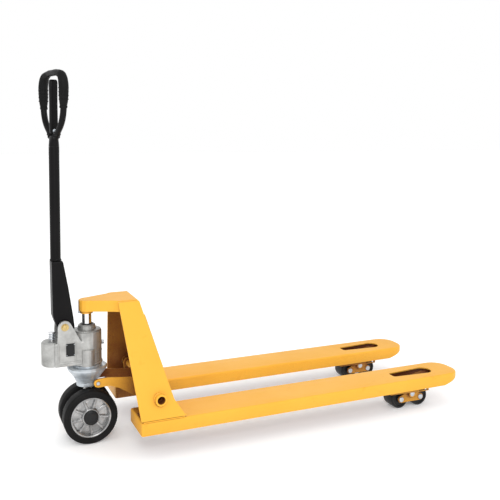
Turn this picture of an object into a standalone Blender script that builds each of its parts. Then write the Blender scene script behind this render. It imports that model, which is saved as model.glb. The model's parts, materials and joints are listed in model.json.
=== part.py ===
"""Hand pallet truck: two forks on an A-frame, lifted by a hand pump over twin steer wheels.

Units are metres, +Z up, forks toward +X, the operator's left toward +Y. Coordinates inside the
script are measured from the steering axis on the floor; everything is then shifted by STEER_X so
that the origin lies under the middle of the truck.
"""
import math

import bmesh
import bpy
from mathutils import Matrix, Vector

# ---- driving dimensions -------------------------------------------------------------------
STEER_X = -0.6125           # steering axis in the part's own frame
GAP = 0.0003                # clearance between touching pieces
FORK_TOP = 0.120            # fork surface above the floor in the modelled pose
FORK_SIDE = 0.042           # depth of a fork's side wall
FORK_W = 0.150
TRUCK_W = 0.512             # over both forks
FORK_STEEL = 0.004
HEEL_X, TIP_X = 0.120, 1.375
FRAME_TOP = 0.470           # top of the A-frame
FRAME_TOP_Y = 0.083         # half width of the A-frame at its top
PLATE = 0.006               # side plate thickness
TORSION = (0.188, 0.180)    # torsion tube axis (x, z)
ROCKER_PIN = (0.026, 0.197)  # front pin of the rocker arms
LEVER_PIN = (0.188, 0.101)  # lower pin of the push levers
FORK_PIVOT = (1.3145, 0.096)  # load roller frame on the fork
TANDEM_PIN = (1.165, 0.055)  # tandem link on the roller frame
ROD_PIN = (1.205, 0.0735)    # push rod on the roller frame
ROLLER_R, ROLLER_W, ROLLER_PITCH = 0.036, 0.060, 0.086
WHEEL_R, TYRE_W, WHEEL_Y = 0.089, 0.046, 0.042
HANDLE_PIVOT = (-0.0785, 0.395)
HANDLE_X = -0.099           # upright handle's centre line
HANDLE_TWIST = math.radians(14)  # the grip loop is turned a little on its shaft
SHAFT_TOP = 0.985
HEAD_TOP = 1.020
GUIDE_Z = 1.036             # hinge of the control lever
PLUNGER_X = -0.1145
PIN_R = 0.006
PUMP_TOP = 0.345            # deck of the pump block
CYLINDER_TOP = 0.371
VALVE = (-0.050, 0.320)

FORK_Y = (TRUCK_W - FORK_W) / 2
SLOPE = (TRUCK_W / 2 - FRAME_TOP_Y) / (FRAME_TOP - FORK_TOP)
FORK_LOW = FORK_TOP - FORK_SIDE
AXLE_X = (TANDEM_PIN[0] - ROLLER_PITCH / 2, TANDEM_PIN[0] + ROLLER_PITCH / 2)
SIDES = (("left", 1), ("right", -1))

for old in list(bpy.data.objects):
    bpy.data.objects.remove(old, do_unlink=True)
PARTS = bpy.data.collections.new("pallet_truck")
CUTTERS = bpy.data.collections.new("cutters")
bpy.context.scene.collection.children.link(PARTS)
bpy.context.scene.collection.children.link(CUTTERS)

FINISHES = {
    "yellow": ((0.83, 0.43, 0.06), 0.42, 0.0),
    "black": ((0.015, 0.014, 0.016), 0.45, 0.0),
    "rubber": ((0.02, 0.02, 0.02), 0.75, 0.0),
    "cast": ((0.42, 0.42, 0.40), 0.5, 0.7),
    "zinc": ((0.55, 0.58, 0.62), 0.35, 0.9),
    "chrome": ((0.75, 0.75, 0.76), 0.12, 1.0),
    "rim": ((0.6, 0.6, 0.58), 0.3, 1.0),
}
PIVOTS = {
    "root": (0.0, 0.0, 0.0),
    "fork_frame": (0.0, 0.0, FORK_TOP),
    "rocker": (TORSION[0], 0.0, TORSION[1]),
    "steering": (0.0, 0.0, WHEEL_R),
    "handle": (HANDLE_PIVOT[0], 0.0, HANDLE_PIVOT[1]),
    "control_lever": (HANDLE_X, 0.0, GUIDE_Z),
    "plunger": (PLUNGER_X, 0.0, PUMP_TOP),
    "valve": (VALVE[0], 0.0, VALVE[1]),
}
for side, sign in SIDES:
    PIVOTS["push_rod_" + side] = (LEVER_PIN[0], sign * FORK_Y, LEVER_PIN[1])
    PIVOTS["roller_frame_" + side] = (FORK_PIVOT[0], sign * FORK_Y, FORK_PIVOT[1])
    PIVOTS["tandem_" + side] = (TANDEM_PIN[0], sign * FORK_Y, TANDEM_PIN[1])
    PIVOTS["steer_wheel_" + side] = (0.0, sign * WHEEL_Y, WHEEL_R)
    for end, x in zip(("rear", "front"), AXLE_X):
        PIVOTS["roller_%s_%s" % (side, end)] = (x, sign * FORK_Y, ROLLER_R)


def make_empties():
    empties = {}
    for body, point in PIVOTS.items():
        empty = bpy.data.objects.new("axis_" + body, None)
        empty.location = Vector(point) + Vector((STEER_X, 0.0, 0.0))
        PARTS.objects.link(empty)
        empties[body] = empty
    return empties


def make_materials():
    made = {}
    for name, (colour, rough, metal) in FINISHES.items():
        mat = bpy.data.materials.new(name)
        mat.use_nodes = True
        shader = mat.node_tree.nodes["Principled BSDF"]
        shader.inputs["Base Color"].default_value = (*colour, 1.0)
        shader.inputs["Roughness"].default_value = rough
        shader.inputs["Metallic"].default_value = metal
        made[name] = mat
    return made


EMPTIES = make_empties()
MATERIALS = make_materials()


def add(name, bm, at, body, finish=None, turn=None):
    """Put a bmesh in the scene as a part of a body, or as a cutter when it has no finish."""
    mesh = bpy.data.meshes.new(name)
    bmesh.ops.recalc_face_normals(bm, faces=bm.faces)
    bm.to_mesh(mesh)
    bm.free()
    obj = bpy.data.objects.new(name, mesh)
    (PARTS if finish else CUTTERS).objects.link(obj)
    obj.parent = EMPTIES[body]
    obj.location = Vector(at) - Vector(PIVOTS[body])
    if turn:
        obj.rotation_euler = turn
    if finish:
        mesh.materials.append(MATERIALS[finish])
        mesh.shade_smooth()
        mesh.set_sharp_from_angle(angle=math.radians(32))
    else:
        obj.hide_render = True
        obj.display_type = "WIRE"
    return obj


def box(name, low, high, body, finish=None, bevel=0.0, turn=None):
    """A box between two corners, its edges rounded by bevel."""
    low, high = Vector(low), Vector(high)
    bm = bmesh.new()
    bmesh.ops.create_cube(bm, size=1.0)
    bmesh.ops.scale(bm, vec=high - low, verts=bm.verts)
    if bevel:
        bmesh.ops.bevel(bm, geom=bm.edges[:], offset=bevel, segments=2, affect="EDGES", profile=0.5)
    return add(name, bm, (low + high) / 2, body, finish, turn)


def rod(name, at, radius, length, axis, body, finish=None, segments=20, bevel=0.0):
    """A cylinder about its middle point, along x, y or z."""
    bm = bmesh.new()
    bmesh.ops.create_cone(bm, cap_ends=True, segments=segments, radius1=radius, radius2=radius,
                          depth=length)
    if bevel:
        rims = [e for e in bm.edges if abs(e.verts[0].co.z - e.verts[1].co.z) < 1e-6]
        bmesh.ops.bevel(bm, geom=rims, offset=bevel, segments=1, affect="EDGES")
    turns = {"x": (0.0, math.pi / 2, 0.0), "y": (math.pi / 2, 0.0, 0.0), "z": (0.0, 0.0, 0.0)}
    return add(name, bm, at, body, finish, turns[axis])


def prism(name, outline, low, high, axis, at, body, finish=None, bevel=0.0, rounded=None):
    """An outline pushed along y (outline in x, z) or z (outline in x, y), from low to high."""
    bm = bmesh.new()
    if axis == "y":
        ring = [bm.verts.new((a, low, b)) for a, b in outline]
        push = Vector((0.0, high - low, 0.0))
    else:
        ring = [bm.verts.new((a, b, low)) for a, b in outline]
        push = Vector((0.0, 0.0, high - low))
    face = bm.faces.new(ring)
    grown = bmesh.ops.extrude_face_region(bm, geom=[face])
    moved = [v for v in grown["geom"] if isinstance(v, bmesh.types.BMVert)]
    bmesh.ops.translate(bm, vec=push, verts=moved)
    bmesh.ops.recalc_face_normals(bm, faces=bm.faces)
    if bevel:
        edges = [e for e in bm.edges if rounded is None or rounded(e)]
        bmesh.ops.bevel(bm, geom=edges, offset=bevel, segments=2, affect="EDGES", profile=0.5)
    return add(name, bm, at, body, finish)


def turned(name, profile, at, axis, body, finish, steps=28, closed=True):
    """A profile of (radius, height) points, outer side top to bottom, turned by a Screw modifier."""
    bm = bmesh.new()
    ring = [bm.verts.new((r, 0.0, h)) for r, h in profile]
    for a, b in zip(ring, ring[1:]):
        bm.edges.new((a, b))
    if closed:
        bm.edges.new((ring[-1], ring[0]))
    turn = (math.pi / 2, 0.0, 0.0) if axis == "y" else None
    obj = add(name, bm, at, body, finish, turn)
    screw = obj.modifiers.new("turn", "SCREW")
    screw.axis = "Z"
    screw.steps = steps
    screw.render_steps = steps
    screw.use_merge_vertices = True
    screw.merge_threshold = 0.00001
    screw.use_smooth_shade = True
    return obj


def cut(obj, *tools):
    for tool in tools:
        boolean = obj.modifiers.new("cut_" + tool.name, "BOOLEAN")
        boolean.operation = "DIFFERENCE"
        boolean.solver = "EXACT"
        boolean.object = tool


def weld(obj, *tools):
    for tool in tools:
        boolean = obj.modifiers.new("weld_" + tool.name, "BOOLEAN")
        boolean.operation = "UNION"
        boolean.solver = "EXACT"
        boolean.object = tool


def hull_outline(circles, steps=6):
    """The convex outline round a set of circles (x, z, radius): the plates' rounded ends."""
    points = []
    for x, z, r in circles:
        for i in range(steps * 2):
            angle = math.pi * i / steps
            points.append((x + r * math.cos(angle), z + r * math.sin(angle)))
    points.sort()
    halves = []
    for run in (points, points[::-1]):
        half = []
        for p in run:
            while len(half) > 1 and cross(half[-2], half[-1], p) <= 1e-10:
                half.pop()
            half.append(p)
        halves.append(half[:-1])
    return halves[0] + halves[1]


def cross(o, a, b):
    return (a[0] - o[0]) * (b[1] - o[1]) - (a[1] - o[1]) * (b[0] - o[0])


def fork_outline(inset):
    """Plan of a fork: square heel, round tip, in x and y about the fork's centre line."""
    half = FORK_W / 2 - inset
    nose = 0.060 - inset
    points = [(HEEL_X + inset, -half), (HEEL_X + inset, half)]
    for y, start in ((half - nose, 90), (-(half - nose), 0)):
        for i in range(6):
            angle = math.radians(start - 18 * i)
            points.append((TIP_X - inset - nose + nose * math.cos(angle), y + nose * math.sin(angle)))
    return points


def make_fork(side, sign):
    y = sign * FORK_Y
    body = "fork_frame"
    top = FORK_TOP - 1e-5
    fork = prism("fork_" + side, fork_outline(0.0), FORK_LOW, FORK_TOP, "z", (0, y, 0), body,
                 "yellow", 0.004, lambda e: all(v.co.z > top for v in e.verts))
    hollow = prism("hollow_" + side, fork_outline(FORK_STEEL), FORK_LOW - 0.02,
                   FORK_TOP - FORK_STEEL, "z", (0, y, 0), body)
    slot = prism("tip_slot_" + side, hull_outline([(1.245, 0, 0.033), (1.112, 0.011, 0.010),
                 (1.112, -0.011, 0.010)]), FORK_TOP - 0.02, FORK_TOP + 0.02, "z", (0, y, 0), body)
    lever_slot = box("lever_slot_" + side, (0.128, y - 0.021, FORK_TOP - 0.02),
                     (0.243, y + 0.021, FORK_TOP + 0.02), body)
    ramp = prism("tip_ramp_" + side, [(1.285, FORK_LOW - 0.01), (1.295, FORK_LOW),
                 (1.40, FORK_LOW + 0.034), (1.40, FORK_LOW - 0.01)], -0.1, 0.1, "y", (0, y, 0), body)
    cut(fork, hollow, slot, lever_slot, ramp)


def frame_y(z):
    """Outer half width of the A-frame at height z."""
    return FRAME_TOP_Y + (FRAME_TOP - z) * SLOPE


def frame_back(z):
    return 0.160 + (FRAME_TOP - z) * 0.2536


def make_side_plate(side, sign):
    """A sloped side of the A-frame, bored for the torsion tube's bush."""
    low = FORK_TOP + 0.0035
    outline = [(0.089, FRAME_TOP), (0.160, FRAME_TOP), (frame_back(low + 0.05), low + 0.05),
               (0.262, low + 0.008), (0.270, low), (0.120, low)]
    body = "fork_frame"
    plate = prism("side_plate_" + side, outline, -PLATE, 0.0, "y", (0, 0, 0), body, "yellow", 0.0015)
    lean = Matrix.Identity(4)
    lean[1][2] = -SLOPE
    lean[1][3] = FRAME_TOP_Y + FRAME_TOP * SLOPE
    plate.data.transform(lean)
    if sign < 0:
        plate.data.transform(Matrix.Scale(-1.0, 4, (0, 1, 0)))
        plate.data.flip_normals()
    bore = rod("plate_bore_" + side, (TORSION[0], sign * 0.22, TORSION[1]), 0.0193, 0.2, "y", body)
    cut(plate, bore)
    y = frame_y(TORSION[1])
    turned("torsion_bush_" + side, [(0.0190, 0.017), (0.0190, -0.017), (0.0133, -0.017),
           (0.0133, 0.017)], (TORSION[0], sign * y, TORSION[1]), "y", body, "yellow", 20)


def make_back_plate():
    """The load backrest between the side plates, following their slope."""
    bm = bmesh.new()
    bmesh.ops.create_cube(bm, size=1.0)
    for v in bm.verts:
        z = 0.4355 if v.co.z > 0 else 0.132
        half = frame_y(z) - PLATE * 1.25
        x = frame_back(z) - (0.006 if v.co.x > 0 else 0.011)
        v.co = (x, math.copysign(half, v.co.y), z)
    add("back_plate", bm, (0, 0, 0), "fork_frame", "yellow")


def make_top_bracket():
    """The folded head that carries the A-frame on the piston rod, open below."""
    nose = 0.031

    def plan(inset):
        points = [(0.158 - inset, -0.0745 + inset), (0.158 - inset, 0.0745 - inset),
                  (0.095, 0.0745 - inset), (0.078, 0.062 - inset)]
        for i in range(9):
            angle = math.radians(90 + 22.5 * i)
            points.append((0.004 + (nose - inset) * math.cos(angle), (nose - inset) * math.sin(angle)))
        return points + [(0.078, -0.062 + inset), (0.095, -0.0745 + inset)]

    top = FRAME_TOP + 0.003
    body = "fork_frame"
    bracket = prism("top_bracket", plan(0.0), 0.436, top, "z", (0, 0, 0), body, "yellow", 0.004,
                    lambda e: all(v.co.z > top - 1e-5 for v in e.verts))
    pocket = prism("bracket_pocket", plan(0.007), 0.42, top - 0.007, "z", (0, 0, 0), body)
    boss = rod("piston_boss", (0, 0, 0.4475), 0.0215, 0.041, "z", body)
    cut(bracket, pocket)
    weld(bracket, boss)
    piston_low = 0.299
    rod("piston_rod", (0, 0, (0.427 - GAP + piston_low) / 2), 0.016, 0.427 - GAP - piston_low, "z", body,
        "chrome", 24, 0.001)
    rod("bracket_screw", (-0.0249, 0, 0.4315), 0.0031, 0.0088, "z", body, "zinc", 12, 0.0008)


def make_rocker():
    body = "rocker"
    x, z = TORSION
    turned("torsion_tube", [(0.013, 0.214), (0.013, -0.214), (0.009, -0.214), (0.009, 0.214)],
           (x, 0, z), "y", body, "yellow", 20)
    outline = [(0.026, 0.183), (0.066, 0.184), (0.097, 0.172), (0.150, 0.138), (0.172, 0.138),
               (0.198, 0.148), (0.216, 0.168), (0.216, 0.192), (0.198, 0.206), (0.150, 0.203),
               (0.060, 0.213), (0.026, 0.211), (0.016, 0.207), (0.012, 0.197), (0.016, 0.187)]
    for side, sign in SIDES:
        low, high = sorted((sign * 0.044, sign * 0.052))
        arm = prism("rocker_arm_" + side, outline, low, high, "y", (0, 0, 0), body, "yellow")
        cut(arm, rod("arm_bore_" + side, (x, sign * 0.048, z), 0.0133, 0.05, "y", body),
            rod("arm_pin_bore_" + side, (ROCKER_PIN[0], sign * 0.048, ROCKER_PIN[1]), PIN_R + GAP, 0.05,
                "y", body))
        y = sign * FORK_Y
        lever = prism("push_lever_" + side, hull_outline([(x, z, 0.021),
                      (LEVER_PIN[0], LEVER_PIN[1], 0.012)]), -0.004, 0.004, "y", (0, y, 0), body, "yellow")
        cut(lever, rod("lever_bore_" + side, (x, y, z), 0.0133, 0.05, "y", body),
            rod("lever_pin_bore_" + side, (LEVER_PIN[0], y, LEVER_PIN[1]), PIN_R + GAP, 0.05, "y", body))
        rod("lever_pin_" + side, (LEVER_PIN[0], y, LEVER_PIN[1]), PIN_R, 0.027, "y", body, "zinc", 14,
            0.0008)
    rod("rocker_pin", (ROCKER_PIN[0], 0, ROCKER_PIN[1]), PIN_R, 0.112, "y", body, "zinc", 12, 0.0008)


def make_push_rod(side, sign):
    """A bar with a fork at the lever and two slotted straps astride the roller frame."""
    body = "push_rod_" + side
    dx = ROD_PIN[0] - LEVER_PIN[0]
    dz = ROD_PIN[1] - LEVER_PIN[1]
    length = math.hypot(dx, dz)
    tilt = (0.0, -math.atan2(dz, dx), 0.0)
    pivot = Vector(PIVOTS[body])

    def piece(name, low, high, finish=None, bevel=0.0):
        obj = box(name, low, high, body, finish, bevel)
        middle = (Vector(low) + Vector(high)) / 2
        middle.rotate(Matrix.Rotation(tilt[1], 3, "Y"))
        obj.location = middle
        obj.rotation_euler = tilt
        return obj

    bar = piece("push_rod_" + side, (0.030, -0.0115, -0.0085), (length - 0.135, 0.0115, 0.0085),
                "yellow", 0.002)
    members = [piece("rod_head_" + side, (length - 0.1451, -0.0545, -0.0095),
                     (length - 0.1291, 0.0545, 0.0095))]
    holes = []
    for i, y in enumerate((-1, 1)):
        inner, outer = sorted((y * 0.0047, y * 0.0107))
        members.append(piece("rod_cheek_%s_%d" % (side, i), (-0.009, inner, -0.0083),
                             (0.045, outer, 0.0083)))
        inner, outer = sorted((y * 0.0495, y * 0.0543))
        members.append(piece("rod_strap_%s_%d" % (side, i), (length - 0.1401, inner, -0.0120),
                             (length + 0.030, outer, 0.0120)))
    holes.append(piece("rod_mouth_" + side, (-0.02, -0.0047, -0.03), (0.036, 0.0047, 0.03)))
    holes.append(piece("rod_slot_" + side, (length - 0.0145, -0.08, -0.0082),
                       (length + 0.0225, 0.08, 0.0082)))
    bore = rod("rod_bore_" + side, pivot, PIN_R + GAP, 0.05, "y", body)
    weld(bar, *members)
    cut(bar, *holes, bore)


def make_load_rollers(side, sign):
    y = sign * FORK_Y
    body = "roller_frame_" + side
    px, pz = FORK_PIVOT
    tx, tz = TANDEM_PIN
    qx, qz = ROD_PIN
    outline = [(px + 0.0135, pz + 0.004), (px + 0.009, pz + 0.013), (px - 0.004, pz + 0.0155),
               (px - 0.030, pz + 0.008), (1.240, 0.0960), (1.200, 0.0850), (1.172, 0.0700),
               (1.158, 0.0670), (1.152, 0.0600), (1.151, 0.0520), (1.157, 0.0440), (1.167, 0.0420),
               (1.178, 0.0460), (1.200, 0.0630), (1.245, 0.0720), (px - 0.020, pz - 0.014),
               (px, pz - 0.0155), (px + 0.011, pz - 0.009)]
    frame = prism("roller_frame_" + side, outline, -0.048, -0.043, "y", (0, y, 0), body, "yellow")
    other = prism("frame_plate_" + side, outline, 0.043, 0.048, "y", (0, y, 0), body)
    tube = rod("frame_tube_" + side, (px, y, pz), 0.0125, 0.0940, "y", body, segments=24)
    pins = [rod("rod_stub_%s_%d" % (side, i), (qx, y + d, qz), 0.005, 0.0120, "y", body, segments=16)
            for i, d in enumerate((-0.0508, 0.0508))]
    weld(frame, other, tube, *pins)
    cut(frame, rod("frame_bore_" + side, (px, y, pz), 0.0083, 0.2, "y", body),
        rod("frame_pin_bore_" + side, (tx, y, tz), PIN_R + GAP, 0.2, "y", body))
    rod("fork_pivot_pin_" + side, (px, y, pz), 0.008, 0.134, "y", "fork_frame", "zinc", 16, 0.001)
    rod("tandem_pin_" + side, (tx, y, tz), PIN_R, 0.0965, "y", body, "zinc", 12, 0.0008)

    body = "tandem_" + side
    outline = hull_outline([(AXLE_X[0], ROLLER_R, 0.0125), (AXLE_X[1], ROLLER_R, 0.0125), (tx, tz, 0.012)])
    link = prism("tandem_link_" + side, outline, -0.0375, -0.0325, "y", (0, y, 0), body, "yellow")
    other = prism("link_plate_" + side, outline, 0.0325, 0.0375, "y", (0, y, 0), body)
    sleeve = rod("link_sleeve_" + side, (tx, y, tz), 0.0092, 0.072, "y", body, segments=20)
    weld(link, other, sleeve)
    cut(link, rod("link_bore_" + side, (tx, y, tz), PIN_R + GAP, 0.2, "y", body))
    for end, x in zip(("rear", "front"), AXLE_X):
        cut(link, rod("axle_bore_%s_%s" % (side, end), (x, y, ROLLER_R), PIN_R + GAP, 0.2, "y", body))
        head = [(0.0, 0.0413), (0.0085, 0.0413), (0.0095, 0.0403), (0.0095, 0.0378), (PIN_R, 0.0378)]
        foot = [(r, -h) for r, h in reversed(head)]
        turned("roller_axle_%s_%s" % (side, end), head + foot, (x, y, ROLLER_R), "y", body, "zinc", 14,
               False)
        half = ROLLER_W / 2
        turned("load_roller_%s_%s" % (side, end),
               [(0.0330, half), (ROLLER_R, half - 0.003), (ROLLER_R, -half + 0.003), (0.0330, -half),
                (0.0068, -half), (0.0068, half)], (x, y, ROLLER_R), "y",
               "roller_%s_%s" % (side, end), "rubber", 20)


def make_thrust_base():
    """The zinc-plated bowl on the pump's post that carries the rocker pin."""
    base = turned("thrust_base", [(0.062, 0.2500), (0.066, 0.2460), (0.065, 0.2400), (0.058, 0.2300),
                  (0.047, 0.2160), (0.0405, 0.2040), (0.0375, 0.1960), (0.0360, 0.1840),
                  (0.0150, 0.1840), (0.0150, 0.2500)], (0, 0, 0), "z", "root", "zinc", 24)
    cut(base, box("rocker_pin_slot", (0.0172, -0.1, 0.1885), (0.0465, 0.1, 0.2065), "root"))
    turned("thrust_bearing", [(0.046, 0.2572), (0.048, 0.2552), (0.048, 0.2503), (0.0152, 0.2503),
           (0.0152, 0.2572)], (0, 0, 0), "z", "root", "zinc", 24)


def make_pump():
    """The cast pump: cylinder, reservoir, handle ears, and the post down to the steer axle."""
    body = "steering"
    low = 0.2580
    hx, hz = HANDLE_PIVOT
    pump = rod("pump_body", (0, 0, (CYLINDER_TOP + low) / 2), 0.0485, CYLINDER_TOP - low, "z", body,
               "cast", 24, 0.004)
    block = box("pump_block", (-0.112, -0.0449, low + 0.006), (-0.005, 0.0449, PUMP_TOP - 0.002), body,
                bevel=0.004)
    tank = rod("reservoir", (-0.112, 0, 0.3035), 0.0375, 0.081, "z", body, segments=24, bevel=0.005)
    boss = rod("side_boss", (-0.004, -0.036, 0.286), 0.0235, 0.054, "z", body, segments=20)
    post = rod("post", (0, 0, 0.180), 0.0145, 0.180, "z", body, segments=20)
    hub = rod("axle_hub", (0, 0, WHEEL_R), 0.021, 0.033, "y", body, segments=20)
    ears = []
    for i, sign in enumerate((-1, 1)):
        ear = [(hx, hz, 0.021), (-0.098, 0.330, 0.006), (-0.030, 0.335, 0.006)]
        inner, outer = sorted((sign * 0.0335, sign * 0.0447))
        ears.append(prism("ear_%d" % i, hull_outline(ear), inner, outer, "y", (0, 0, 0), body))
    weld(pump, block, tank, boss, post, hub, *ears)
    cut(pump, rod("piston_bore", (0, 0, 0.332), 0.0168, 0.138, "z", body, segments=20),
        rod("axle_bore", (0, 0, WHEEL_R), 0.0103, 0.2, "y", body),
        rod("handle_bore", (hx, 0, hz), 0.0083, 0.2, "y", body),
        rod("plunger_bore", (PLUNGER_X, 0, 0.336), 0.0085, 0.056, "z", body))
    turned("gland_ring", [(0.0245, 0.3900), (0.0285, 0.3865), (0.0300, 0.3713), (0.0166, 0.3713),
           (0.0166, 0.3900)], (0, 0, 0), "z", body, "cast", 20)
    box("name_plate", (-0.076, -0.0463, 0.298), (-0.047, -0.0452, 0.340), body, "black", 0.0003)
    rod("handle_pin", (hx, 0, hz), 0.008, 0.096, "y", body, "zinc", 16, 0.001)
    rod("steer_axle", (0, 0, WHEEL_R), 0.010, 0.124, "y", body, "zinc", 20, 0.001)
    rod("drain_plug", (0.0530, 0, 0.322), 0.0075, 0.0082, "x", body, "zinc", 6, 0.0008)


def make_plunger():
    turned("plunger", [(0.0, 0.3740), (0.0105, 0.3740), (0.0120, 0.3725), (0.0120, 0.3700),
           (0.0080, 0.3700), (0.0080, 0.3240), (0.0, 0.3240)], (PLUNGER_X, 0, 0), "z", "plunger", "chrome",
           24, False)
    curve = bpy.data.curves.new("pump_spring", "CURVE")
    curve.dimensions = "3D"
    curve.bevel_depth = 0.0011
    curve.bevel_resolution = 1
    curve.use_fill_caps = True
    turns, per_turn = 4, 8
    spline = curve.splines.new("POLY")
    spline.points.add(turns * per_turn)
    for i, point in enumerate(spline.points):
        angle = 2 * math.pi * i / per_turn
        height = 0.3463 + 0.0220 * i / (turns * per_turn)
        point.co = (0.0100 * math.cos(angle), 0.0100 * math.sin(angle), height, 1.0)
    spring = bpy.data.objects.new("pump_spring", curve)
    PARTS.objects.link(spring)
    spring.parent = EMPTIES["steering"]
    spring.location = Vector((PLUNGER_X, 0, 0)) - Vector(PIVOTS["steering"])
    curve.materials.append(MATERIALS["zinc"])


def make_valve_lever():
    vx, vz = VALVE
    outline = hull_outline([(vx, vz, 0.009), (vx - 0.045, vz + 0.006, 0.005)])
    prism("valve_lever", outline, 0.0453, 0.0503, "y", (0, 0, 0), "valve", "zinc")


def make_steer_wheel(side, sign):
    body = "steer_wheel_" + side
    y = sign * WHEEL_Y
    half = TYRE_W / 2
    turned("steer_tyre_" + side, [(0.083, half), (0.0875, half - 0.002), (WHEEL_R, half - 0.006),
           (WHEEL_R, -half + 0.006), (0.0875, -half + 0.002), (0.083, -half), (0.0660, -half),
           (0.0660, half)], (0, y, WHEEL_R), "y", body, "rubber", 32)
    rim = [(0.0657, half - 0.001), (0.0657, -half + 0.001), (0.0600, -half + 0.001),
           (0.0570, -0.006), (0.0300, -0.006), (0.0270, -half + 0.003), (0.0105, -half + 0.003),
           (0.0105, half - 0.003), (0.0270, half - 0.003), (0.0300, 0.006), (0.0570, 0.006),
           (0.0600, half - 0.001)]
    turned("steer_rim_" + side, rim, (0, y, WHEEL_R), "y", body, "rim", 24)
    cap = [(0.0, 0.0055), (0.0160, 0.0055), (0.0220, 0.0035), (0.0245, 0.0), (0.0245, -0.0035),
           (0.0, -0.0035)]
    if sign > 0:
        cap = [(r, -h) for r, h in reversed(cap)]
    turned("hub_cap_" + side, cap, (0, y + sign * 0.02385, WHEEL_R), "y", body, "black", 20, False)


def make_handle():
    body = "handle"
    hx, hz = HANDLE_PIVOT
    outline = [(-0.1135, 0.430), (-0.1045, 0.402), (-0.0945, 0.384), (-0.0805, 0.3745),
               (-0.0560, 0.3750), (-0.0430, 0.3830), (-0.0470, 0.420), (-0.0620, 0.520),
               (-0.0785, 0.610), (-0.1155, 0.610)]
    yoke = prism("handle_yoke", outline, -0.027, 0.027, "y", (0, 0, 0), body, "black", 0.004)
    cut(yoke, rod("yoke_bore", (hx, 0, hz), 0.0083, 0.2, "y", body))
    shaft_low = 0.6103
    turned("handle_shaft", [(0.0170, SHAFT_TOP), (0.0170, shaft_low), (0.0135, shaft_low),
           (0.0135, SHAFT_TOP)], (HANDLE_X, 0, 0), "z", body, "black", 24)
    head = [(-0.0175, SHAFT_TOP + GAP), (0.0175, SHAFT_TOP + GAP), (0.0300, HEAD_TOP),
            (-0.0300, HEAD_TOP)]
    slab("handle_head", head, 0.031, 0.0015, body, "black")
    make_loop(body)
    lever = hull_outline([(0.0, GUIDE_Z, 0.0085), (0.0, 1.193, 0.010)])
    slab("control_lever", lever, 0.027, 0.0, "control_lever", "black")


def slab(name, outline, thickness, bevel, body, finish):
    """An outline in y, z on the handle's centre line, turned with the grip loop."""
    bm = bmesh.new()
    face = bm.faces.new([bm.verts.new((-thickness / 2, y, z)) for y, z in outline])
    grown = bmesh.ops.extrude_face_region(bm, geom=[face])
    moved = [v for v in grown["geom"] if isinstance(v, bmesh.types.BMVert)]
    bmesh.ops.translate(bm, vec=(thickness, 0, 0), verts=moved)
    if bevel:
        bmesh.ops.recalc_face_normals(bm, faces=bm.faces)
        bmesh.ops.bevel(bm, geom=bm.edges[:], offset=bevel, segments=1, affect="EDGES")
    return add(name, bm, (HANDLE_X, 0, 0), body, finish, (0, 0, HANDLE_TWIST))


def make_loop(body):
    """The closed grip loop: half its path, mirrored, thicker where the hands hold it."""
    half = [(0.014, 1.004, 0.82), (0.034, 1.030, 0.82), (0.063, 1.060, 0.85), (0.079, 1.092, 0.86),
            (0.083, 1.128, 0.90), (0.084, 1.150, 1.25), (0.084, 1.190, 1.30), (0.071, 1.213, 1.20),
            (0.036, 1.2225, 1.0)]
    points = half + [(0.0, 1.223, 1.0)] + [(-y, z, r) for y, z, r in reversed(half)]
    curve = bpy.data.curves.new("handle_loop", "CURVE")
    curve.dimensions = "3D"
    curve.bevel_depth = 0.0120
    curve.bevel_resolution = 2
    curve.use_fill_caps = True
    spline = curve.splines.new("BEZIER")
    spline.bezier_points.add(len(points) - 1)
    spline.resolution_u = 2
    for point, (y, z, radius) in zip(spline.bezier_points, points):
        point.co = (0.0, y, z)
        point.radius = radius
        point.handle_left_type = "AUTO"
        point.handle_right_type = "AUTO"
    path = bpy.data.objects.new("loop_path", curve)
    CUTTERS.objects.link(path)
    bm = bmesh.new()
    bpy.context.view_layer.update()
    bm.from_mesh(path.to_mesh())
    path.to_mesh_clear()
    bpy.data.objects.remove(path, do_unlink=True)
    bmesh.ops.remove_doubles(bm, verts=bm.verts, dist=1e-6)
    loop = add("handle_loop", bm, (HANDLE_X, 0, 0), body, "rubber", (0, 0, HANDLE_TWIST))
    cut(loop, box("loop_seat", (HANDLE_X - 0.05, -0.05, 0.95), (HANDLE_X + 0.05, 0.05, HEAD_TOP + GAP),
                  body))


for side, sign in SIDES:
    make_fork(side, sign)
    make_side_plate(side, sign)
    make_push_rod(side, sign)
    make_load_rollers(side, sign)
    make_steer_wheel(side, sign)
make_back_plate()
make_top_bracket()
make_rocker()
make_thrust_base()
make_pump()
make_plunger()
make_valve_lever()
make_handle()
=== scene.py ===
"""Looks of a hand pallet truck: its finishes and fine detail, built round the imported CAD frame.

Units are metres, +Z up, forks toward +X. X0 is the steering axis in the part's own frame, and the
local x values below are measured from it.
"""

import json
import math
import random

import bmesh
import bpy
from mathutils import Matrix, Vector


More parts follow.
